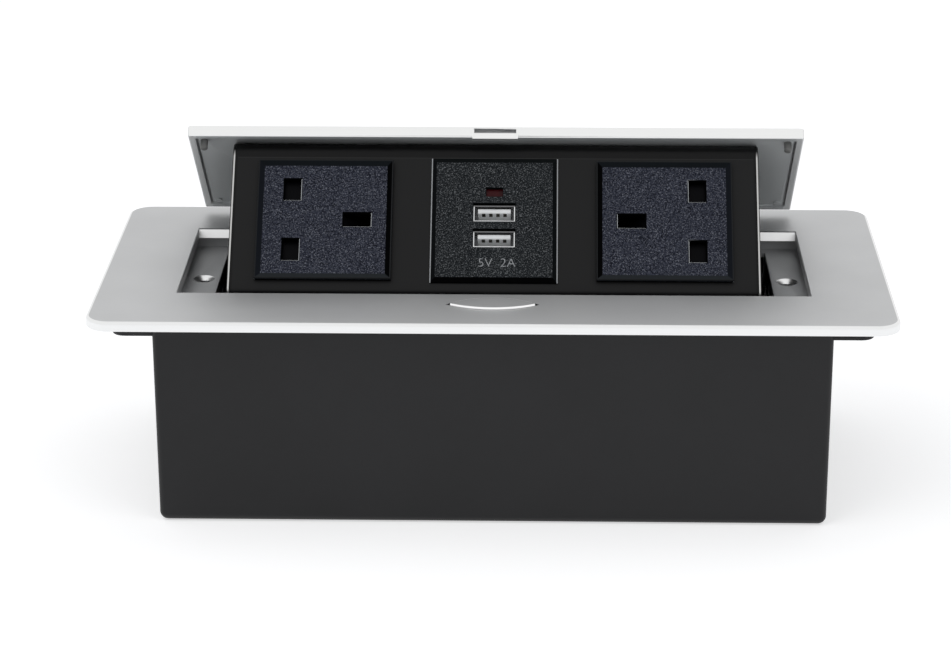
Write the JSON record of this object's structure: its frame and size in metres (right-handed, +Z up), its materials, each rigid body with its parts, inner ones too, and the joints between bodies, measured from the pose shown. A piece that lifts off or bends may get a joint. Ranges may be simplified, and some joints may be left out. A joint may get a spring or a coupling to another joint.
{
  "type": "in-desk power module",
  "caption": "Sunk desk power unit: a button frees a sprung lid that lifts a carriage of mains sockets and a USB charger out of a steel box.",
  "frame": {"origin": "middle of the underside of the housing, which is the middle of the base of the overall box", "axes": "+X along the bezel to the right as seen from the button side, +Y to the hinge at the back, +Z up out of the desk"},
  "size_m": [0.266, 0.12, 0.1205],
  "materials": {
    "cast_aluminium": "satin, fine blasted and anodised",
    "lid_aluminium": "satin, fine blasted and anodised",
    "housing_black": "fine textured powder coat",
    "panel_black": "satin black paint",
    "bare_steel": "zinc plated, satin",
    "spring_steel": "drawn wire",
    "socket_grey": "spark-eroded texture",
    "charger_black": "spark-eroded texture",
    "moulded_black": "smooth",
    "shutter_black": "smooth",
    "nylon": "natural",
    "rubber_black": "matt",
    "brass_contacts": "bright rolled",
    "button_metal": "polished",
    "port_steel": "nickel plated",
    "tongue_white": "smooth",
    "board_green": "solder mask",
    "lens_red": "tinted clear",
    "transformer_yellow": "wound tape"
  },
  "bodies": {
    "base": {"bezel_frame": "cast_aluminium", "housing_box": "housing_black", "cable_grommet": "rubber_black", "housing_screws": "bare_steel", "hinge_bracket_left": "bare_steel", "hinge_bracket_right": "bare_steel", "bracket_screws": "bare_steel", "hinge_bush_left": "nylon", "hinge_bush_right": "nylon", "torsion_spring_left": "spring_steel", "torsion_spring_right": "spring_steel", "latch_bracket": "bare_steel", "latch_pin": "bare_steel", "latch_screws": "bare_steel", "button_springs": "spring_steel"},
    "button": {"release_button": "button_metal"},
    "latch": {"latch_lever": "bare_steel"},
    "shutter_left": {"shutter_left": "shutter_black"},
    "shutter_right": {"shutter_right": "shutter_black"},
    "carriage": {"earth_contact_left": "brass_contacts", "earth_contact_right": "brass_contacts", "front_panel": "panel_black", "hinge_pin_left": "bare_steel", "hinge_pin_right": "bare_steel", "lid": "lid_aluminium", "lid_bumpers": "nylon", "lid_screws": "bare_steel", "live_contact_left": "brass_contacts", "live_contact_right": "brass_contacts", "neutral_contact_left": "brass_contacts", "neutral_contact_right": "brass_contacts", "rear_cover": "panel_black", "shutter_spring_left": "spring_steel", "shutter_spring_right": "spring_steel", "side_plate_left": "bare_steel", "side_plate_right": "bare_steel", "socket_base_left": "moulded_black", "socket_base_right": "moulded_black", "socket_face_left": "socket_grey", "socket_face_right": "socket_grey", "terminal_screws_left": "brass_contacts", "terminal_screws_right": "brass_contacts", "usb_board": "board_green", "usb_capacitors": "moulded_black", "usb_case": "moulded_black", "usb_face": "charger_black", "usb_led_lens": "lens_red", "usb_port_lower": "port_steel", "usb_port_upper": "port_steel", "usb_tongue_lower": "tongue_white", "usb_tongue_upper": "tongue_white", "usb_transformer": "transformer_yellow"}
  },
  "joints": [
    {"name": "lid_hinge", "type": "hinge", "parent": "base", "child": "carriage", "pos_m": [0, 0.0478, 0.0462], "axis": [1, 0, 0], "range_deg": [0, 43], "stiffness_Nm_per_rad": 0.25, "springref_deg": -114.59, "deforming": ["torsion_spring_left", "torsion_spring_right"]},
    {"name": "button_press", "type": "slide", "parent": "base", "child": "button", "axis": [0, 0, -1], "range_m": [0, 0.0015], "stiffness_N_per_m": 400, "springref_m": -0.003, "deforming": ["button_springs"]},
    {"name": "latch_turn", "type": "hinge", "parent": "base", "child": "latch", "pos_m": [0, -0.0345, 0.063], "axis": [1, 0, 0], "range_deg": [0, 8.6]},
    {"name": "shutter_slide_left", "type": "slide", "parent": "carriage", "child": "shutter_left", "axis": [-1, 0, 0], "range_m": [0, 0.0054], "stiffness_N_per_m": 100, "springref_m": -0.004, "deforming": ["shutter_spring_left"]},
    {"name": "shutter_slide_right", "type": "slide", "parent": "carriage", "child": "shutter_right", "axis": [1, 0, 0], "range_m": [0, 0.0054], "stiffness_N_per_m": 100, "springref_m": -0.004, "deforming": ["shutter_spring_right"]}
  ],
  "couplings": [
    {"joint": "latch_turn", "follows": "button_press", "rad_per_m": 100}
  ]
}
